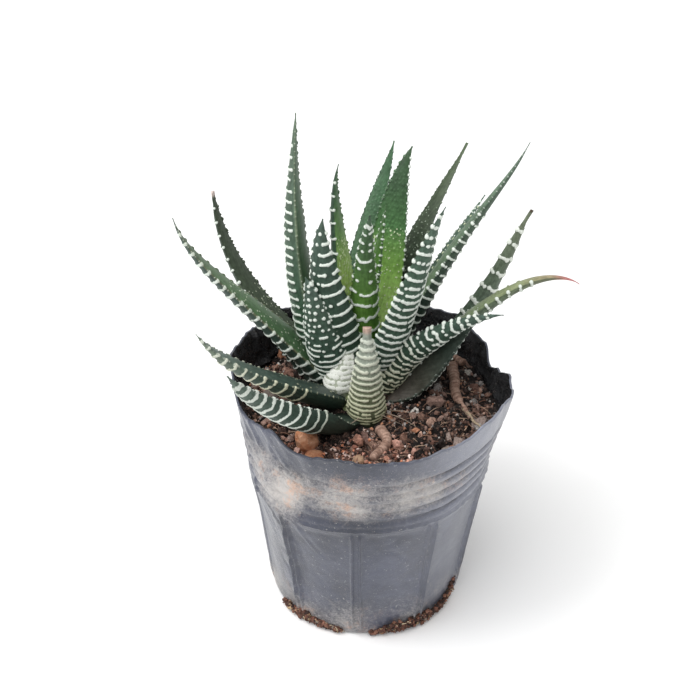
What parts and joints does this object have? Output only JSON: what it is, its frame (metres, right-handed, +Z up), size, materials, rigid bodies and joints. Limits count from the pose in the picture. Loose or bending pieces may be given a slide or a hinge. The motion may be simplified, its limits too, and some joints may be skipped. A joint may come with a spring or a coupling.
{
  "type": "potted haworthia",
  "caption": "Rosette succulent with white-banded pointed leaves and a small offset, growing in potting mix in a soft tapered nursery pot.",
  "frame": {"origin": "centre of the pot's base, on the surface the pot stands on", "axes": "+Z up, -Y towards the side the picture shows as the front, +X to its right"},
  "size_m": [0.1235, 0.107, 0.1673],
  "materials": {
    "pot": "dusty soft film, creased",
    "soil": "moist crumbly potting mix",
    "leaf": "waxy skin with raised white bands",
    "young_leaf": "waxy skin with raised white bands",
    "pale_leaf": "skin crowded with white tubercles",
    "crown": "fleshy",
    "root": "matt, ringed",
    "stone": "rough"
  },
  "bodies": {
    "root": {"pot": "pot", "soil": "soil", "spill_left": "soil", "spill_right": "soil", "crown": "crown", "offset_crown": "crown", "offset_leaf_front": "pale_leaf", "offset_leaf_bulb": "pale_leaf", "offset_leaf_small": "leaf", "leaf_01": "young_leaf", "leaf_02": "young_leaf", "leaf_03": "young_leaf", "leaf_04": "young_leaf", "leaf_05": "leaf", "leaf_06": "leaf", "leaf_07": "leaf", "leaf_08": "leaf", "leaf_09": "leaf", "leaf_10": "leaf", "leaf_11": "leaf", "leaf_12": "leaf", "leaf_13": "leaf", "leaf_14": "leaf", "leaf_15": "leaf", "leaf_16": "leaf", "leaf_17": "leaf", "leaf_18": "leaf", "leaf_19": "leaf", "leaf_20": "leaf", "leaf_21": "leaf", "leaf_22": "leaf", "leaf_23": "leaf", "leaf_24": "leaf", "root_right": "root", "root_back": "root", "root_front": "root", "pebble_orange": "stone", "pebble_beside": "stone", "pebble_left": "stone", "pebble_front": "stone", "pebble_right": "stone"}
  },
  "joints": []
}
